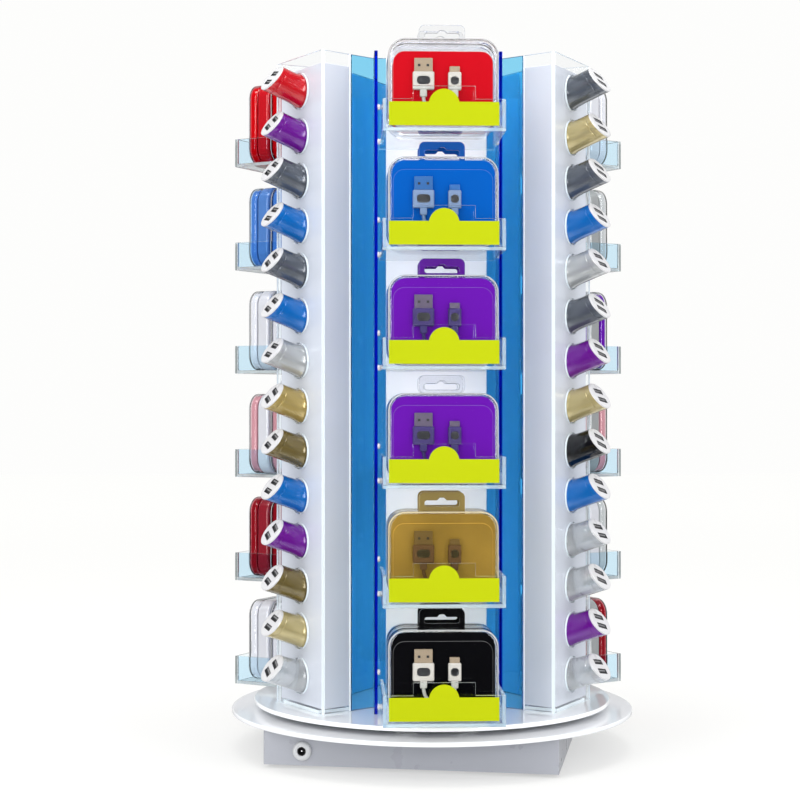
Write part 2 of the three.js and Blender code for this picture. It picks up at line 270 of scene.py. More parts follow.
CARD = gloss("price_card", (0.44, 0.485, 0.0), rough=0.5, vary=0.02, bump=0.02, specular=0.1)
STEEL = gloss("bearing_steel", (0.62, 0.63, 0.65), rough=0.25, metallic=1.0, bump=0.05)
MOTOR = gloss("motor_case", (0.5, 0.51, 0.53), rough=0.4, metallic=1.0, bump=0.1)
RUBBER = gloss("foot_rubber", (0.03, 0.03, 0.03), rough=0.7, bump=0.4)
INLET = gloss("inlet_plastic", (0.55, 0.56, 0.58), rough=0.35, bump=0.08)
# Near black for the insides of sockets, bores and plug windows: painted shade of their depth.
SOCKET_SHADE = gloss("socket_shade", (0.025, 0.025, 0.028), rough=0.5, bump=0.05)
FACE_WHITE = gloss("charger_face", (0.62, 0.62, 0.64), rough=0.3, bump=0.03)
PORT_METAL = gloss("port_metal", (0.35, 0.36, 0.38), rough=0.3, metallic=1.0)
TONGUE = gloss("port_tongue", (0.22, 0.22, 0.23), rough=0.4)
SCREW = gloss("screw_white", (0.8, 0.8, 0.82), rough=0.3)

COLORS = {
    "red": (0.50, 0.003, 0.010), "wine": (0.26, 0.010, 0.022), "rose": (0.55, 0.30, 0.34),
    "purple": (0.115, 0.006, 0.34), "violet": (0.13, 0.003, 0.25),
    "blue": (0.0, 0.088, 0.42), "azure": (0.0, 0.125, 0.45), "slate": (0.075, 0.20, 0.52),
    "gold": (0.44, 0.33, 0.11), "sand": (0.50, 0.42, 0.20), "bronze": (0.18, 0.135, 0.045),
    "black": (0.002, 0.002, 0.003), "grey": (0.105, 0.12, 0.145), "silver": (0.48, 0.50, 0.51),
    "white": (0.66, 0.67, 0.72), "crystal": (0.74, 0.77, 0.80),
}
METALLIC = {"gold", "sand", "bronze", "silver", "grey"}
GOLD_FOIL = (0.43, 0.31, 0.095)
# In a coloured case a plug's body and metal end are painted in the case's tint: painted coloured light, for
# the light that reaches them through the case.
PLUG_LOOKS = {  # body and metal end, tinged by the coloured case round them
    "plain": ((0.56, 0.54, 0.50), (0.44, 0.35, 0.25)),
    "blue": ((0.17, 0.25, 0.42), (0.045, 0.16, 0.44)),
    "purple": ((0.05, 0.035, 0.15), (0.15, 0.125, 0.19)),
    "gold": ((0.11, 0.065, 0.04), (0.18, 0.13, 0.065)),
}
LID_TINTS = {
    "none": (0.985, 0.99, 1.0), "red": (0.97, 0.30, 0.33), "wine": (0.86, 0.42, 0.46),
    "slate": (0.72, 0.86, 1.0), "rose": (0.97, 0.86, 0.88), "gold": (0.94, 0.82, 0.50),
}
made = {}  # the materials made so far for the coloured pieces, by name


def lacquer(color):
    """The lacquered barrel of a charger, or the shell of a product case. Crystal is half clear."""
    name = f"lacquer_{color}"
    if name not in made:
        body = dict(transmission=0.7, ior=1.4) if color == "crystal" else {}
        made[name] = gloss(name, COLORS[color], rough=0.22, vary=0.03, coat=1.0, specular=0.35, bump=0.01,
                           metallic=0.4 if color in METALLIC else 0.1, uneven=0.1, **body)
    return made[name]


def tray_card(color):
    """The coloured tray in a case, satin under the lid, and a lighter copy of its colour for the bend at the
    edge of its step: a painted highlight.
    """
    name = f"tray_{color}"
    if name not in made:
        if color == "gold":
            foil = dict(rough=0.35, metallic=0.5, specular=0.1)
            made[name] = (gloss(name, GOLD_FOIL, vary=0.4, scale=110, **foil),
                          gloss(f"{name}_bend", scaled(GOLD_FOIL, 2.2), **foil))
        else:
            card = dict(rough=0.45, specular=0.02)
            made[name] = (gloss(name, COLORS[color], vary=0.06, scale=30, **card),
                          gloss(f"{name}_bend", lightened(COLORS[color], 0.14), **card))
    return made[name]


def plug_plastic(color):
    """A plug's body and its metal end."""
    look = color if color in PLUG_LOOKS else "plain"
    name = f"plug_{look}"
    if name not in made:
        body, metal = PLUG_LOOKS[look]
        made[name] = (gloss(name, body, rough=0.35, bump=0.05, specular=0.3),
                      gloss(f"{name}_end", metal, rough=0.35, metallic=0.3, bump=0.05, specular=0.3))
    return made[name]


def lid_material(tint):
    name = f"lid_{tint}"
    if name not in made:
        made[name] = clear(name, LID_TINTS[tint], ior=1.46)
    return made[name]


# ------------------------------------------------------------------ mesh helpers

SMOOTH_ANGLE = math.radians(35)  # edges sharper than this stay sharp
BEVEL_ANGLE = math.radians(30)


def turned_by(degrees):
    return Matrix.Rotation(math.radians(degrees), 4, "Z")


def shade(mesh):
    for poly in mesh.polygons:
        poly.use_smooth = True
    mesh.set_sharp_from_angle(angle=SMOOTH_ANGLE)


def finish_mesh(bm, name, materials, turn_faces=True):
    """Turns a bmesh into a mesh. turn_faces is off for a hollow piece, whose inner faces look inwards."""
    bmesh.ops.remove_doubles(bm, verts=bm.verts, dist=MERGE)
    if turn_faces:
        bmesh.ops.recalc_face_normals(bm, faces=bm.faces)
    mesh = bpy.data.meshes.new(name)
    bm.to_mesh(mesh)
    bm.free()
    for mat in materials:
        mesh.materials.append(mat)
    shade(mesh)
    return mesh


def add_object(name, mesh, matrix=None):
    obj = bpy.data.objects.new(name, mesh)
    bpy.context.scene.collection.objects.link(obj)
    if matrix is not None:
        obj.matrix_world = matrix
    return obj


def see_through(obj):
    """Clear plastic neither shadows what it covers nor stops the light that bounces round it."""
    obj.visible_shadow = False
    obj.visible_diffuse = False
    return obj


def place(obj, body, slot, *replaced):
    """Puts a piece on its body. Normals are weighted by area, so flat sheets stay flat to their rims."""
    normals = obj.modifiers.new("even_normals", "WEIGHTED_NORMAL")
    normals.keep_sharp = True
    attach(obj, body)
    if replaced:
        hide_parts(*replaced)
    return obj


def add_part(bm, part, index=0, matrix=None, edge=None, thin=1):
    """Adds one bmesh to another. With edge given, faces not square to the thin axis take that index."""
    bmesh.ops.recalc_face_normals(part, faces=part.faces)
    part.normal_update()
    for face in part.faces:
        broad = edge is None or abs(face.normal[thin]) > 0.9
        face.material_index = index if broad else edge
    if matrix is not None:
        bmesh.ops.transform(part, matrix=matrix, verts=part.verts)
    scratch = bpy.data.meshes.new("scratch")
    part.to_mesh(scratch)
    part.free()
    bm.from_mesh(scratch)
    bpy.data.meshes.remove(scratch)


def add_box(bm, low, high, bevel=0.4 * MM, segments=2, index=0, matrix=None, edge=None):
    """A box with rounded edges, added to a bmesh."""
    part = bmesh.new()
    bmesh.ops.create_cube(part, size=1.0)
    size = Vector(high) - Vector(low)
    bmesh.ops.scale(part, vec=size, verts=part.verts)
    bmesh.ops.translate(part, vec=(Vector(low) + Vector(high)) / 2, verts=part.verts)
    if bevel:
        bmesh.ops.bevel(part, geom=part.edges[:], offset=bevel, segments=segments, profile=0.5,
                        affect="EDGES")
    thin = min(range(3), key=lambda axis: size[axis])
    add_part(bm, part, index, matrix, edge, thin)


def curve_part(curve, merge):
    """A curve's filled or round shape, as a bmesh. The curve itself is removed."""
    obj = bpy.data.objects.new(curve.name, curve)
    bpy.context.scene.collection.objects.link(obj)
    bpy.context.view_layer.update()
    evaluated = obj.evaluated_get(bpy.context.evaluated_depsgraph_get())
    mesh = bpy.data.meshes.new_from_object(evaluated)
    part = bmesh.new()
    part.from_mesh(mesh)
    bpy.data.objects.remove(obj)
    bpy.data.curves.remove(curve)
    bpy.data.meshes.remove(mesh)
    bmesh.ops.remove_doubles(part, verts=part.verts, dist=merge)
    return part


def sheet_part(outline, holes=(), thickness=SHEET, bevel=0.3 * MM, y_front=0.0, resolution=1):
    """An upright cut sheet with its outline in XZ, its front face at y_front and its back behind it."""
    curve = bpy.data.curves.new("outline", "CURVE")
    curve.dimensions = "2D"
    curve.fill_mode = "BOTH"
    curve.extrude = thickness / 2 - bevel
    curve.bevel_depth = bevel
    curve.bevel_resolution = resolution
    curve.offset = -bevel
    for loop in (outline, *holes):
        spline = curve.splines.new("POLY")
        spline.points.add(len(loop) - 1)
        for point, (x, z) in zip(spline.points, loop):
            point.co = (x, z, 0, 1)
        spline.use_cyclic_u = True
    part = curve_part(curve, 2 * MERGE)
    upright = Matrix.Translation((0, y_front + thickness / 2, 0)) @ Matrix.Rotation(math.pi / 2, 4, "X")
    bmesh.ops.transform(part, matrix=upright, verts=part.verts)
    return part


def cable_part(points, radius):
    """A round cable along a smooth curve through the given points."""
    curve = bpy.data.curves.new("cable", "CURVE")
    curve.dimensions = "3D"
    curve.bevel_depth = radius
    curve.bevel_resolution = 2
    curve.use_fill_caps = True
    spline = curve.splines.new("NURBS")
    spline.points.add(len(points) - 1)
    for point, co in zip(spline.points, points):
        point.co = (*co, 1)
    spline.order_u = 3
    spline.use_endpoint_u = True
    return curve_part(curve, MERGE)


def lathe_part(profile, steps):
    """A closed profile of (radius, z) points turned about Z. Points on the axis close the ends."""
    part = bmesh.new()
    rings = []
    for radius, z in profile:
        if radius < MERGE:
            rings.append([part.verts.new((0, 0, z))])
        else:
            rings.append([part.verts.new((x, y, z)) for x, y in ellipse(radius, radius, steps)])
    pairs = list(zip(rings, rings[1:]))
    if len(rings[0]) > 1 and len(rings[-1]) > 1:
        pairs.append((rings[-1], rings[0]))
    for a, b in pairs:
        for i in range(steps):
            j = (i + 1) % steps
            quad = [a[i % len(a)], a[j % len(a)], b[j % len(b)], b[i % len(b)]]
            unique = list(dict.fromkeys(quad))
            if len(unique) > 2:
                part.faces.new(unique)
    return part


def bevelled_copy(node, name, mat, width):
    """The CAD node's own shape with its sharp edges softened."""
    mesh = NODES[node].data.copy()
    mesh.name = name
    mesh.materials.clear()
    mesh.materials.append(mat)
    bm = bmesh.new()
    bm.from_mesh(mesh)
    bmesh.ops.remove_doubles(bm, verts=bm.verts, dist=MERGE)
    bmesh.ops.dissolve_limit(bm, angle_limit=math.radians(1), verts=bm.verts, edges=bm.edges)
    bm.to_mesh(mesh)
    bm.free()
    obj = add_object(name, mesh)
    bevel = obj.modifiers.new("edges", "BEVEL")
    bevel.width = width
    bevel.segments = 2
    bevel.limit_method = "ANGLE"
    bevel.angle_limit = BEVEL_ANGLE
    bevel.harden_normals = False
    shade(mesh)
    return obj


# ------------------------------------------------------------------ outlines

def arc(cx, cy, radius, start, end, steps=5):
    """Points on an arc, from start to end in degrees."""
    points = []
    for i in range(steps + 1):
        a = math.radians(start + (end - start) * i / steps)
        points.append((cx + radius * math.cos(a), cy + radius * math.sin(a)))
    return points


def rounded_rect(width, height, radius, steps=6, center=(0, 0)):
    points = []
    for k, (sx, sy) in enumerate(((1, -1), (1, 1), (-1, 1), (-1, -1))):
        cx = center[0] + sx * (width / 2 - radius)
        cy = center[1] + sy * (height / 2 - radius)
        points += arc(cx, cy, radius, 90 * k - 90, 90 * k, steps)
    return points


def ellipse(rx, ry, steps, center=(0, 0)):
    return [(center[0] + rx * math.cos(math.tau * i / steps), center[1] + ry * math.sin(math.tau * i / steps))
            for i in range(steps)]


# ------------------------------------------------------------------ base and turntable

def make_base():
    place(bevelled_copy("base_box", "base_box_shell", BASE_WHITE, 0.6 * MM), "base", "base_shell", "base_box")
    for node, mat in (("drive_motor", MOTOR), ("bearing_lower_race", STEEL),
                      ("bearing_upper_race", STEEL), ("drive_shaft", STEEL)):
        NODES[node].material_slots[0].material = mat
    for end in ("front", "rear"):
        for side in ("left", "right"):
            NODES[f"foot_{end}_{side}"].material_slots[0].material = RUBBER


def make_disc(name, node, body, mat, bore=0.0):
    """A round acrylic disc with polished, rounded rims."""
    low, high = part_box(node)
    radius = (high.x - low.x) / 2
    edge = 1.2 * MM
    profile = [(bore, low.z)]
    profile += arc(radius - edge, low.z + edge, edge, -90, 0)
    profile += arc(radius - edge, high.z - edge, edge, 0, 90)
    profile += [(bore, high.z)]
    bm = bmesh.new()
    add_part(bm, lathe_part(profile, 256))
    place(add_object(name, finish_mesh(bm, name, [mat])), body, "white_acrylic", node)


def make_inlet():
    """The supply socket: a domed flange, a barrel, a bore lined in near black as painted shade, and its
    contact pin.
    """
    low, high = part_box("power_inlet")
    turn = Matrix.Rotation(BASE_TURN, 3, "Z")
    wall = -base_high.x / (math.cos(BASE_TURN) + abs(math.sin(BASE_TURN)))
    origin = turn @ Vector((INLET_ALONG, wall, (low.z + high.z) / 2))
    aim = (turn @ Vector((0, -1, 0))).to_track_quat("Z", "Y").to_matrix().to_4x4()

    bore, barrel, flange = 4 * MM, 6 * MM, 8.6 * MM
    depth, bore_depth = 14 * MM, 6 * MM
    seat, rim = 0.3 * MM, 1.4 * MM  # the flange's back, and where its dome begins
    dome, lip = 2.6 * MM, 0.5 * MM
    shell = [(0, -depth), (barrel, -depth), (barrel, seat), (flange, seat), (flange, rim)]
    shell += arc(flange - dome, rim, dome, 0, 90, 8)
    shell += arc(bore + lip, rim + dome - lip, lip, 90, 180, 4)
    shell += [(bore, -bore_depth), (0, -bore_depth)]

    outer, inner = bore - 0.1 * MM, bore - 0.5 * MM
    under, floor, mouth = 0.1 * MM - bore_depth, 0.6 * MM - bore_depth, rim + 1.2 * MM
    lining = [(0, under), (outer, under), (outer, mouth), (inner, mouth), (inner, floor), (0, floor)]

    pin_r, pin_top, tip = 1.0 * MM, 1.6 * MM, 0.6 * MM
    foot = floor + 0.1 * MM
    pin = [(0, foot), (pin_r, foot), (pin_r, pin_top - tip), (tip, pin_top), (0, pin_top)]

    bm = bmesh.new()
    for index, (profile, steps) in enumerate(((shell, 64), (lining, 48), (pin, 24))):
        add_part(bm, lathe_part(profile, steps), index)
    obj = add_object("power_inlet_socket", finish_mesh(bm, "power_inlet_socket", [INLET, SOCKET_SHADE, STEEL]),
                     Matrix.Translation(origin) @ aim)
    place(obj, "base", "inlet_plastic", "power_inlet")


# ------------------------------------------------------------------ tower

def make_bay_core(name):
    channel = bevelled_copy(f"core_channel_{name}", f"blue_channel_{name}", BLUE, 0.25 * MM)
    channel.visible_shadow = False
    place(channel, "turntable", "blue_acrylic", f"core_channel_{name}")
    place(bevelled_copy(f"back_panel_{name}", f"white_panel_{name}", PANEL_WHITE, 0.4 * MM),
          "turntable", "white_acrylic", f"back_panel_{name}")


def bin_mesh():
    """One clear bin: floor, two sides and a front wall with a raised middle, glued from sheet."""
    half = BIN_W / 2
    tab = BIN_TAB_W / 2
    back = panel_low.y - 0.3 * MM
    inner_face = BIN_FACE + SHEET + SEAM
    outline = [(-half, 0), (half, 0), (half, BIN_H), (tab, BIN_H), (tab, BIN_H + BIN_TAB_H),
               (-tab, BIN_H + BIN_TAB_H), (-tab, BIN_H), (-half, BIN_H)]
    bm = bmesh.new()
    add_part(bm, sheet_part(outline, y_front=BIN_FACE, bevel=0.35 * MM), edge=2)
    add_box(bm, (-half, inner_face, 0), (half, back, SHEET), 0.3 * MM, edge=2)
    for low, high in ((-half, SHEET - half), (half - SHEET, half)):
        add_box(bm, (low, inner_face, SHEET + SEAM), (high, BIN_SIDE_BACK, BIN_H), 0.35 * MM, index=1, edge=2)
    return finish_mesh(bm, "bin", [BIN_CLEAR, BIN_SIDE, BIN_EDGE])


def card_mesh():
    """The price card: a strip with a half-round tab, in front of the goods."""
    half, low, high = 47 * MM, 4.8 * MM, 25 * MM
    thickness, radius = 0.5 * MM, 13 * MM
    face = BIN_FACE + SHEET + thickness
    sink = 2 * MM  # the tab's centre lies below the card's top edge
    start = math.degrees(math.asin(sink / radius))
    outline = [(-half, low), (half, low), (half, high)]
    outline += arc(0, high - sink, radius, start, 180 - start, 24)
    outline.append((-half, high))
    bm = bmesh.new()
    add_part(bm, sheet_part(outline, thickness=thickness, bevel=0.1 * MM, y_front=face, resolution=0))
    return finish_mesh(bm, "price_card", [CARD])


def screws_mesh():
    """White fixing screws that hold the bins to the flank plates of one bay."""
    under, top, radius, round_r = -0.2 * MM, 2.4 * MM, 2.6 * MM, 1.4 * MM
    crown = arc(radius - round_r, top - round_r, round_r, 0, 90, 4)
    profile = [(0, under), (radius, under), *crown, (0, top)]
    bm = bmesh.new()
    for low in ROW_LOW:
        for side in (-1, 1):
            for up in SCREW_UPS:
                aim = Matrix.Rotation(-side * math.pi / 2, 4, "Y")
                at = Matrix.Translation((side * FLANK_INNER, SCREW_Y, low + up))
                add_part(bm, lathe_part(profile, 20), matrix=at @ aim)
    return finish_mesh(bm, "screws", [SCREW])


def make_charger_box(name):
    """The clear corner box: a front panel with fourteen holes, two sides and a floor."""
    low, high = rear_box_low.z, rear_box_high.z
    bevel = 0.3 * MM
    bm = bmesh.new()
    outline = [(-BOX_HALF_FRONT, low), (BOX_HALF_FRONT, low), (BOX_HALF_FRONT, high), (-BOX_HALF_FRONT, high)]
    holes = [ellipse(HOLE_R, HOLE_R / math.cos(CHARGER_TILT), 48, (0, z)) for z in CHARGER_HEIGHTS]
    add_part(bm, sheet_part(outline, holes, y_front=BOX_FACE, bevel=bevel), edge=1)
    narrowing, depth = BOX_HALF_FRONT - BOX_HALF_BACK, BOX_BACK - BOX_FACE
    slope, length = math.atan2(narrowing, depth), math.hypot(narrowing, depth)
    start = SHEET + 0.6 * MM  # the sides begin behind the front panel
    for side in (-1, 1):
        aim = Matrix.Rotation(side * slope, 4, "Z")
        at = Matrix.Translation((side * BOX_HALF_FRONT, BOX_FACE, 0))
        x0, x1 = (-SHEET, 0) if side > 0 else (0, SHEET)
        add_box(bm, (x0, start, low), (x1, length, high), bevel, matrix=at @ aim, edge=1)
    floor_half, floor_front = BOX_HALF_BACK - SHEET - 1.0 * MM, BOX_FACE + SHEET + SEAM
    add_box(bm, (-floor_half, floor_front, low), (floor_half, BOX_BACK, low + SHEET), bevel, edge=1)
    obj = add_object(f"clear_box_{name}", finish_mesh(bm, f"clear_box_{name}", [CLEAR, SHEET_EDGE]),
                     turned_by(CORNER_TURN[name]))
    place(see_through(obj), "turntable", "clear_acrylic", f"charger_box_{name}")


def make_insert(name):
    """The white board folded into a trapezoid post behind the clear front."""
    front, back = BOX_FACE + SHEET + 0.6 * MM, -rear_insert_low.y
    half_front = BOX_HALF_FRONT - SHEET - 1.0 * MM
    half_back = BOX_HALF_BACK - SHEET - 0.8 * MM
    low, high = rear_insert_low.z, rear_insert_high.z
    bm = bmesh.new()
    corners = [(-half_front, front), (half_front, front), (half_back, back), (-half_back, back)]
    rings = [[bm.verts.new((x, y, z)) for x, y in corners] for z in (low, high)]
    for ring in rings:
        bm.faces.new(ring)
    for i in range(4):
        j = (i + 1) % 4
        bm.faces.new((rings[0][i], rings[0][j], rings[1][j], rings[1][i]))
    bmesh.ops.bevel(bm, geom=bm.edges[:], offset=0.8 * MM, segments=3, profile=0.5, affect="EDGES")
    obj = add_object(f"white_insert_{name}", finish_mesh(bm, f"white_insert_{name}", [INSERT]),
                     turned_by(CORNER_TURN[name]))
    place(obj, "turntable", "charger_parts", f"charger_insert_{name}")


# ------------------------------------------------------------------ chargers

BARREL = [  # distance from the panel, and radius, in millimetres: flared foot, waist, groove, end
    (-2.5, 13.8), (0.25, 13.9), (0.3, 14.35), (0.7, 14.5), (1.2, 14.4), (2.2, 14.1), (3.6, 13.85),
    (6, 13.6), (10, 13.4), (16, 13.3), (22.6, 13.3), (22.9, 13.05), (23.4, 13.05), (23.7, 13.3),
    (27.6, 13.35), (28, 13.2)]
CAP = [(28.05, 12.95), (28.2, 13.25), (29.1, 13.2), (29.5, 12.95), (29.65, 12.5), (29.6, 12.3)]
WELL = (28.0, 12.3)  # the cap's floor, behind its face plate
FACE_AT = 29.6 * MM
FACE_R = 12.25 * MM
FACE_T = 1.4 * MM
PORT_W, PORT_H = 12.6 * MM, 5.2 * MM
PORT_OFF = 4.9 * MM  # of each socket from the middle of the face
PORT_ROLLS = (-27, -12, -20)  # degrees the pair of sockets is turned in the face
CHARGER_COLORS = {  # from the top
    "left": "red violet grey azure grey azure silver gold bronze azure violet bronze sand crystal",
    "right": "grey sand grey azure silver grey violet sand black azure crystal crystal violet crystal",
    "rear": "azure gold violet grey red silver azure sand grey violet gold black crystal azure",
}
charger_meshes = {}  # by colour and roll


def port_outline(y, roll):
    turn = math.radians(roll)
    return [(x * math.cos(turn) - z * math.sin(turn), x * math.sin(turn) + z * math.cos(turn))
            for x, z in rounded_rect(PORT_W, PORT_H, 0.6 * MM, 3, (0, y))]


def charger_mesh(color, roll):
    """A two-socket charger along +Z: flared barrel, grooved near its end, and a slanted white cap."""
    steps = 56
    foot = 1.2 * MM  # up to here the rings lie in the panel's slope
    panel_slope, face_slope = math.tan(CHARGER_TILT), -math.tan(CHARGER_FACE_TILT)
    bm = bmesh.new()

    def ring(at, radius):
        """A ring whose slope goes from the panel's to the face's along the barrel."""
        at, radius = at * MM, radius * MM
        share = min(max((at - foot) / (CHARGER_REACH - foot), 0.0), 1.0)
        slope = panel_slope + (face_slope - panel_slope) * share
        return [bm.verts.new((x, y, at + y * slope)) for x, y in ellipse(radius, radius, steps)]

    def skin(rows, index):
        for a, b in zip(rows, rows[1:]):
            for i in range(steps):
                j = (i + 1) % steps
                bm.faces.new((a[i], a[j], b[j], b[i])).material_index = index

    body = [ring(*row) for row in BARREL]
    cap = [ring(*row) for row in CAP]
    well = ring(*WELL)
    skin(body, 0)
    skin([body[-1]] + cap, 1)
    skin([cap[-1], well], 1)
    bm.faces.new(list(reversed(body[0]))).material_index = 0
    # The cap's floor shows through the sockets in near black: painted shade.
    bm.faces.new(well).material_index = 3

    face_at = Matrix.Translation((0, 0, FACE_AT)) @ Matrix.Rotation(-CHARGER_FACE_TILT, 4, "X")
    flat = Matrix.Rotation(-math.pi / 2, 4, "X")
    outline = ellipse(FACE_R, FACE_R / math.cos(CHARGER_FACE_TILT), steps)
    holes = [port_outline(y, roll) for y in (-PORT_OFF, PORT_OFF)]
    add_part(bm, sheet_part(outline, holes, thickness=FACE_T, bevel=0.12 * MM), 1, face_at @ flat, edge=2)
    turn = Matrix.Rotation(math.radians(roll), 4, "Z")
    for y in (-PORT_OFF, PORT_OFF):  # the contact tongue in each socket
        add_box(bm, (-5.3 * MM, y + 0.2 * MM, -1.5 * MM), (5.3 * MM, y + 1.6 * MM, -0.5 * MM), 0.15 * MM, 1,
                index=4, matrix=face_at @ turn)
    return finish_mesh(bm, f"charger_{color}", [lacquer(color), FACE_WHITE, PORT_METAL, SOCKET_SHADE, TONGUE])


def make_chargers(name):
    tilt = Matrix.Rotation(math.pi / 2 - CHARGER_TILT, 4, "X")
    lean = turned_by(CHARGER_LEAN.get(name, 0.0))
    for i, color in enumerate(CHARGER_COLORS[name].split()):
        key = color, PORT_ROLLS[(i * 2 + len(name)) % len(PORT_ROLLS)]
        if key not in charger_meshes:
            charger_meshes[key] = charger_mesh(*key)
        hole = Matrix.Translation((0, BOX_FACE, CHARGER_HEIGHTS[i]))
        obj = add_object(f"charger_{name}_{i + 1}", charger_meshes[key],
                         turned_by(CORNER_TURN[name]) @ hole @ lean @ tilt)
        place(obj, "turntable", "charger_parts")


# ------------------------------------------------------------------ product cases

CASE_LOOKS = {  # tray and shell of each row, from the top
    "front": [("red", "clear"), ("blue", "blue"), ("purple", "purple"), ("purple", "clear"),
              ("gold", "gold"), ("black", "black")],
    "left": [("red", "red"), ("slate", "slate"), ("white", "white"), ("rose", "white"),
             ("wine", "wine"), ("white", "white")],
    "right": [("white", "white"), ("silver", "silver"), ("purple", "silver"), ("rose", "silver"),
              ("silver", "white"), ("wine", "silver")],
}
CARD_SLOT, SHELL_SLOT, PLUG_SLOT, END_SLOT, DARK_SLOT, PAD_SLOT, BEND_HIGHLIGHT_SLOT = range(7)
LID_SLOT, RIM_SLOT, TAB_SLOT = range(3)


def case_plate(inset, thickness, y_front, bevel, resolution):
    """A rounded plate of the case's outline, smaller by inset all round."""
    outline = rounded_rect(CASE_W - 2 * inset, CASE_H - 2 * inset, CASE_R - inset, 10, CASE_CENTER)
    return sheet_part(outline, thickness=thickness, bevel=bevel, y_front=y_front, resolution=resolution)


def add_plug(bm, x, top, y, body, metal, pair):
    """A moulded plug with its metal end up, a plain pad on its body, and a strain relief below.

    y is the tray's face. pair gives the metal end the two small windows of the wide plug.
    """
    body_w, body_h = body
    metal_w, metal_h = metal
    body_t, metal_t = 4.8 * MM, 3.6 * MM
    low = top - metal_h - body_h
    add_box(bm, (x - metal_w / 2, y - metal_t, top - metal_h), (x + metal_w / 2, y, top), 0.4 * MM,
            index=END_SLOT)
    add_box(bm, (x - body_w / 2, y - body_t, low), (x + body_w / 2, y, top - metal_h), 1.2 * MM, 3,
            index=PLUG_SLOT)
    if pair:
        # The windows are dark boxes, painted shade of the holes in the metal end.
        window_half = 1.1 * MM
        for middle in (x - metal_w * 0.24, x + metal_w * 0.24):
            add_box(bm, (middle - window_half, y - metal_t - 0.2 * MM, top - metal_h * 0.62),
                    (middle + window_half, y - metal_t + 0.1 * MM, top - metal_h * 0.44), 0, index=DARK_SLOT)
    pad = rounded_rect(body_w * 0.62, body_h * 0.46, body_h * 0.2, 5, (x, low + body_h * 0.52))
    add_part(bm, sheet_part(pad, thickness=0.3 * MM, bevel=0.08 * MM, y_front=y - body_t - 0.2 * MM,
                            resolution=0), PAD_SLOT)
    relief_half, relief_h = 3.0 * MM, 6 * MM
    add_box(bm, (x - relief_half, y - 4.4 * MM, low - relief_h),
            (x + relief_half, y - 0.6 * MM, low + 0.5 * MM), 0.8 * MM, index=PLUG_SLOT)
    cable = [(x, y - 2.5 * MM, low - 5 * MM), (x, y - 2.5 * MM, low - 12 * MM),
             (x * 0.5, y - 2.5 * MM, low - 20 * MM), (-x * 0.4, y - 2.3 * MM, low - 21 * MM)]
    add_part(bm, cable_part(cable, 1.5 * MM), PLUG_SLOT)


def slot_outline(center_z):
    """The hanging slot: a rounded slot with a small peak for the hook."""
    height = 5.4 * MM
    top = center_z + height / 2
    foot, crown, rise = 4.2 * MM, 1.89 * MM, 2.3 * MM  # the peak's half widths and its height
    peak = [(foot, top), (crown, top + rise), (-crown, top + rise), (-foot, top)]
    slot = rounded_rect(30 * MM, height, 2 * MM, 5, (0, center_z))
    corner = next(i for i, (x, z) in enumerate(slot) if x < 0 and z >= top - MERGE)
    return slot[:corner] + peak + slot[corner:]


def add_shell(bm, index, tab_edge=None):
    """The back half of a case, with the hanging tab on its back edge.

    A clear shell's tab has an edge material of painted shade, and stops at the shell so that it doesn't show
    inside it.
    """
    add_part(bm, case_plate(0, CASE_T - LID_T - SEAM, LID_T + SEAM - CASE_T, 2.5 * MM, 3), index)
    sunk = 5.5 * MM if tab_edge is None else 0.2 * MM  # how far the tab reaches into the shell
    tab_h, tab_t = TAB_RISE + sunk, 2 * MM
    tab = rounded_rect(40 * MM, tab_h, 5 * MM, 6, (0, CASE_H + TAB_RISE - tab_h / 2))
    add_part(bm, sheet_part(tab, [slot_outline(CASE_H + 5.5 * MM)], thickness=tab_t, bevel=0.5 * MM,
                            y_front=-tab_t, resolution=2), index, edge=tab_edge)


def lid_mesh(tint, with_shell):
    """The clear front of a case: a thin shell, hollow inside."""
    wall = 1.6 * MM
    bm = bmesh.new()
    add_part(bm, case_plate(0, LID_T, -CASE_T, 3.2 * MM, 4))
    for face in bm.faces:
        if -0.85 < face.normal.y < -0.35:  # the rounding between the front and the sides
            # The rounding takes the rim material, a painted highlight.
            face.material_index = RIM_SLOT
    start = len(bm.faces)
    add_part(bm, case_plate(wall, LID_T - 2 * wall, wall - CASE_T, 2.0 * MM, 4))
    bm.faces.ensure_lookup_table()
    bmesh.ops.reverse_faces(bm, faces=bm.faces[start:])
    if with_shell:
        add_shell(bm, LID_SLOT, tab_edge=TAB_SLOT)
    rim = GOLD_RIM if tint == "gold" else LID_RIM
    return finish_mesh(bm, "case_lid", [lid_material(tint), rim, TAB_EDGE], turn_faces=False)


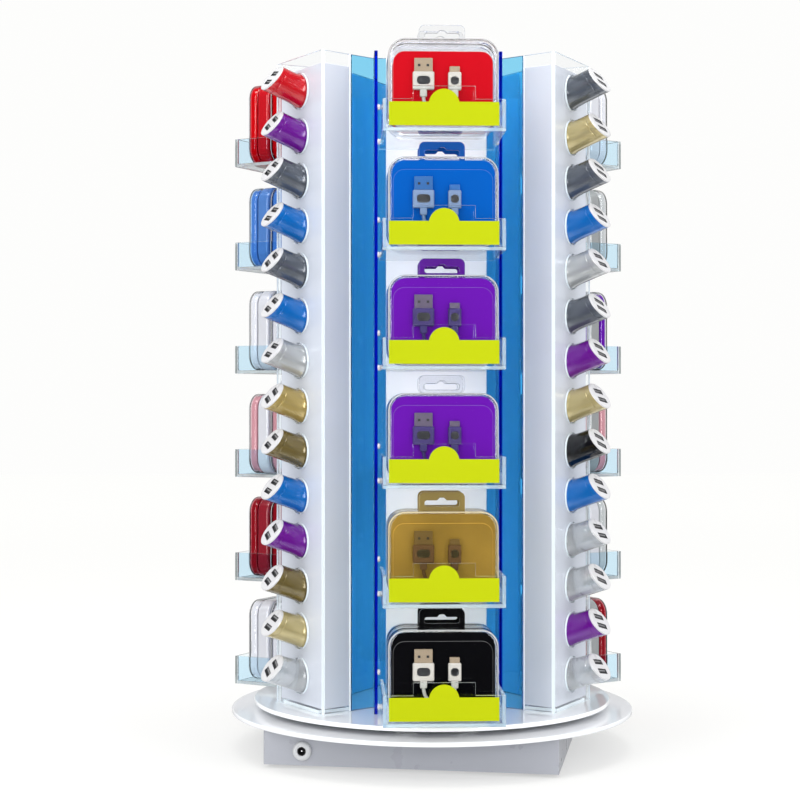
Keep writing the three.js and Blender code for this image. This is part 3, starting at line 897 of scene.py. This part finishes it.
def body_mesh(name, tray, shell):
    """What shows through the lid: the back shell and the coloured tray with a cable's two plugs."""
    bm = bmesh.new()
    if shell != "clear":
        add_shell(bm, SHELL_SLOT)
    tray_y = 7.2 * MM - CASE_T
    fill_y = 3.2 * MM - CASE_T
    if name == "front":
        step = rounded_rect(CASE_W - 9 * MM, CASE_H - 15 * MM, CASE_R - 5 * MM, 8, (0, CASE_H / 2 - 3 * MM))
        # The step's bend takes the tray's painted highlight.
        add_part(bm, sheet_part(step, thickness=1.6 * MM, bevel=0.5 * MM, y_front=tray_y, resolution=2),
                 CARD_SLOT, edge=BEND_HIGHLIGHT_SLOT)
        fill_y = tray_y + 1.2 * MM
    if name != "front" or tray != "red":  # every tray but the front red one fills its lid
        fill_back = LID_T - CASE_T - 1.8 * MM
        add_part(bm, case_plate(2.2 * MM, fill_back - fill_y, fill_y, 0.5 * MM, 2), CARD_SLOT)
    if name == "front":  # a wide plug and a narrow one
        add_plug(bm, -17 * MM, 61 * MM, tray_y, (18.4 * MM, 15.6 * MM), (15.6 * MM, 11.6 * MM), True)
        add_plug(bm, 9.8 * MM, 54 * MM, tray_y, (11.2 * MM, 15.6 * MM), (8.6 * MM, 4.8 * MM), False)
    card, bend = tray_card(tray)
    plastic, metal = plug_plastic(tray)
    shell_mat = lacquer(tray if shell == "clear" else shell)
    return finish_mesh(bm, "case", [card, shell_mat, plastic, metal, SOCKET_SHADE, PORT_METAL, bend])


def place_cases(name, row, bin_at):
    """The two cases in one bin, each a body and a lid."""
    tray, shell = CASE_LOOKS[name][row - 1]
    tinted = shell != "clear" and tray in LID_TINTS
    body = body_mesh(name, tray, shell)
    lid = lid_mesh(tray if tinted else "none", shell == "clear")
    for order, back in (("front", 0.0), ("rear", CASE_T + CASE_GAP)):
        at = bin_at @ Matrix.Translation((0, case_low.y + CASE_T + back, case_low.z - bin_low.z))
        replaced = [f"case_pair_{name}_{row}"] if order == "front" else []
        place(add_object(f"case_{order}_{name}_{row}", body, at), "turntable", "boxed_goods", *replaced)
        place(see_through(add_object(f"case_lid_{order}_{name}_{row}", lid, at)), "turntable", "boxed_goods")


def make_bay(name):
    turn = turned_by(BAY_TURN[name])
    make_bay_core(name)
    place(add_object(f"bin_screws_{name}", the_screws, turn), "turntable", "white_acrylic")
    for row, low in enumerate(ROW_LOW, 1):
        at = turn @ Matrix.Translation((0, 0, low))
        place(see_through(add_object(f"clear_bin_{name}_{row}", the_bin, at)),
              "turntable", "clear_acrylic", f"bin_{name}_{row}")
        if name == "front":
            place(add_object(f"price_card_{row}", the_card, at), "turntable", "boxed_goods")
        place_cases(name, row, at)


# ------------------------------------------------------------------ stage, light and camera

FLOOR_COLOR = (0.38, 0.38, 0.376)
FLOOR_GLOW = 0.47
FAR_GLOW = 0.045  # makes up, far out, for the lamps' light, which fades with distance
FLOOR_DROP = 0.2 * MM  # below the feet
ROOM_LEVEL = 0.985  # what the eye sees
LIT_LEVEL = 1.25  # what lights the matt surfaces
REFLECTED_LEVEL = 0.03  # the dim room between the soft boxes, in reflections
BACKDROP_LEVEL = 0.5  # what the white backdrop adds to it
TABLE_LEVEL = 1.3  # what the white table adds to it, straight down
BOX_LEVEL = 7
BOX_AZIMUTHS = (-35, 35)  # of the two tall soft boxes
BOX_EDGES = (11, 7)  # half widths where a box's light starts and is full, in degrees


def make_stage():
    """A plain white light table. Reflections don't see it: the world has its own table for them."""
    mat = gloss("floor", FLOOR_COLOR, rough=0.8, vary=0.003, bump=0.0, specular=0.0)
    tree = mat.node_tree
    sockets = tree.nodes["Principled BSDF"].inputs
    path = tree.nodes.new("ShaderNodeLightPath")
    mirrored = do_math(tree, "MINIMUM", path.outputs["Glossy Depth"], 1.0)
    direct = do_math(tree, "SUBTRACT", 1.0, mirrored)
    away = tree.nodes.new("ShaderNodeVectorMath")
    away.operation = "LENGTH"
    link(tree, tree.nodes.new("ShaderNodeTexCoord").outputs["Object"], away.inputs[0])
    far = do_math(tree, "MULTIPLY", ramp(tree, away.outputs["Value"], 0.6, 4.0), FAR_GLOW)
    glow = do_math(tree, "ADD", far, FLOOR_GLOW)
    sockets["Emission Color"].default_value = (1.0, 1.0, 0.99, 1)
    link(tree, do_math(tree, "MULTIPLY", direct, glow), sockets["Emission Strength"])
    paint = sockets["Base Color"].links[0].from_socket
    link(tree, mix_colors(tree, direct, (0.0, 0.0, 0.0), paint), sockets["Base Color"])

    bm = bmesh.new()
    bmesh.ops.create_grid(bm, x_segments=2, y_segments=2, size=6.0)
    floor = add_object("floor", finish_mesh(bm, "floor", [mat]), Matrix.Translation((0, 0, -FLOOR_DROP)))
    floor.visible_glossy = False


def soft_boxes(tree, x, y, z):
    """Where a direction meets the overhead box or one of the two tall boxes in front.

    x, y and z are the direction's, so a ramp over z goes by the sine of the elevation.
    """
    flat = do_math(tree, "SQRT", do_math(tree, "ADD", do_math(tree, "MULTIPLY", x, x),
                                         do_math(tree, "MULTIPLY", y, y)))
    overhead = do_math(tree, "MULTIPLY", ramp(tree, z, 0.74, 0.8), ramp(tree, z, 0.93, 0.87))
    boxes = do_math(tree, "MULTIPLY", overhead, ramp(tree, y, 0.0, -0.2))
    heights = do_math(tree, "MULTIPLY", ramp(tree, z, -0.3, -0.15), ramp(tree, z, 0.65, 0.5))
    outer, inner = (math.cos(math.radians(edge)) for edge in BOX_EDGES)
    for azimuth in BOX_AZIMUTHS:
        a = math.radians(azimuth)
        along = do_math(tree, "ADD", do_math(tree, "MULTIPLY", x, math.sin(a)),
                        do_math(tree, "MULTIPLY", y, -math.cos(a)))
        width = ramp(tree, do_math(tree, "DIVIDE", along, flat), outer, inner)
        boxes = do_math(tree, "ADD", boxes, do_math(tree, "MULTIPLY", width, heights))
    return boxes


def mix_levels(tree, factor, a, b):
    """A level from a, at factor 0, to b. Each is a number or another node's output."""
    node = tree.nodes.new("ShaderNodeMix")
    node.data_type = "FLOAT"
    link(tree, factor, node.inputs["Factor"])
    for socket, value in zip("AB", (a, b)):
        if isinstance(value, float):
            node.inputs[socket].default_value = value
        else:
            link(tree, value, node.inputs[socket])
    return node.outputs["Result"]


def make_world():
    """A white room. Only gloss sees the soft boxes, the backdrop and the table in it."""
    world = bpy.data.worlds.new("studio")
    bpy.context.scene.world = world
    world.use_nodes = True
    tree = world.node_tree
    background = tree.nodes["Background"]
    background.inputs["Color"].default_value = (1.0, 1.0, 0.99, 1)
    axes = tree.nodes.new("ShaderNodeSeparateXYZ")
    link(tree, tree.nodes.new("ShaderNodeTexCoord").outputs["Generated"], axes.inputs[0])
    x, y, z = axes.outputs

    backdrop = do_math(tree, "MULTIPLY", ramp(tree, y, 0.0, 0.8), BACKDROP_LEVEL)
    table = do_math(tree, "MULTIPLY", ramp(tree, z, -0.45, -0.85), TABLE_LEVEL)
    dim = do_math(tree, "ADD", do_math(tree, "ADD", REFLECTED_LEVEL, backdrop), table)
    bright = do_math(tree, "MULTIPLY", soft_boxes(tree, x, y, z), BOX_LEVEL)
    reflected = do_math(tree, "ADD", bright, dim)

    path = tree.nodes.new("ShaderNodeLightPath")
    eye = do_math(tree, "MAXIMUM", path.outputs["Is Camera Ray"], path.outputs["Is Transmission Ray"])
    direct = mix_levels(tree, eye, LIT_LEVEL, ROOM_LEVEL)
    once = do_math(tree, "MINIMUM", path.outputs["Glossy Depth"], 1.0)
    crisp = do_math(tree, "SUBTRACT", 1.0, path.outputs["Is Diffuse Ray"])
    mirrored = do_math(tree, "MULTIPLY", once, crisp)
    link(tree, mix_levels(tree, mirrored, direct, reflected), background.inputs["Strength"])


def add_lamp(name, kind, location, watts):
    """A lamp that neither gloss nor clear plastic shows: the world's soft boxes are there for that."""
    lamp = bpy.data.lights.new(name, kind)
    lamp.energy = watts
    obj = bpy.data.objects.new(name, lamp)
    bpy.context.scene.collection.objects.link(obj)
    obj.location = location
    obj.visible_glossy = False
    obj.visible_transmission = False
    return obj


def add_panel_lamp(name, location, size, watts):
    """A rectangular lamp aimed at the middle of the tower."""
    middle = Vector((0, 0, 0.35))
    obj = add_lamp(name, "AREA", location, watts)
    obj.data.shape = "RECTANGLE"
    obj.data.size, obj.data.size_y = size
    obj.rotation_euler = (middle - Vector(location)).to_track_quat("-Z", "Y").to_euler()


def make_lights():
    add_panel_lamp("key", (-1.1, -1.3, 1.5), (0.8, 0.8), 7)
    add_panel_lamp("fill", (1.3, -1.2, 1.1), (0.8, 1.0), 4)
    add_panel_lamp("front", (-0.1, -1.9, 0.5), (0.5, 0.5), 7)
    add_panel_lamp("top", (0.0, -0.2, 1.8), (1.2, 0.7), 9)
    for height in (0.14, 0.34, 0.54):  # the blue plates glow from within
        core = add_lamp("core", "POINT", (0, 0, height), 0.1)
        core.data.shadow_soft_size = 0.03
        core.visible_camera = False


def make_camera():
    """The camera as fitted to the photo: it stands in front, turned a little about the tower's axis."""
    back, side, height, turn = 1.6614, -0.0303, 0.3284, math.radians(-2.234)
    focal_px, frame_px, sensor = 1737.7, 800, 36.0
    cam = bpy.data.cameras.new("camera")
    cam.sensor_width = sensor
    cam.lens = focal_px / frame_px * sensor
    cam.clip_start, cam.clip_end = 0.05, 50
    obj = bpy.data.objects.new("camera", cam)
    bpy.context.scene.collection.objects.link(obj)
    obj.location = Matrix.Rotation(turn, 3, "Z") @ Vector((side, -back, height))
    obj.rotation_euler = (math.pi / 2, 0, turn)
    bpy.context.scene.camera = obj


def set_look():
    scene = bpy.context.scene
    scene.view_settings.view_transform = "Standard"
    scene.cycles.max_bounces = 24
    scene.cycles.transmission_bounces = 24
    scene.cycles.glossy_bounces = 10
    scene.cycles.transparent_max_bounces = 24


# ------------------------------------------------------------------ the whole display

make_camera()
make_base()
make_disc("fixed_disc_sheet", "fixed_disc", "base", DISC_WHITE, bore=DISC_BORE)
make_disc("turntable_sheet", "turntable_disc", "turntable", TURNTABLE_WHITE)
make_inlet()
the_bin = bin_mesh()
the_card = card_mesh()
the_screws = screws_mesh()
for bay in BAY_TURN:
    make_bay(bay)
for corner in CORNER_TURN:
    make_charger_box(corner)
    make_insert(corner)
    make_chargers(corner)
make_stage()
make_world()
make_lights()
set_look()
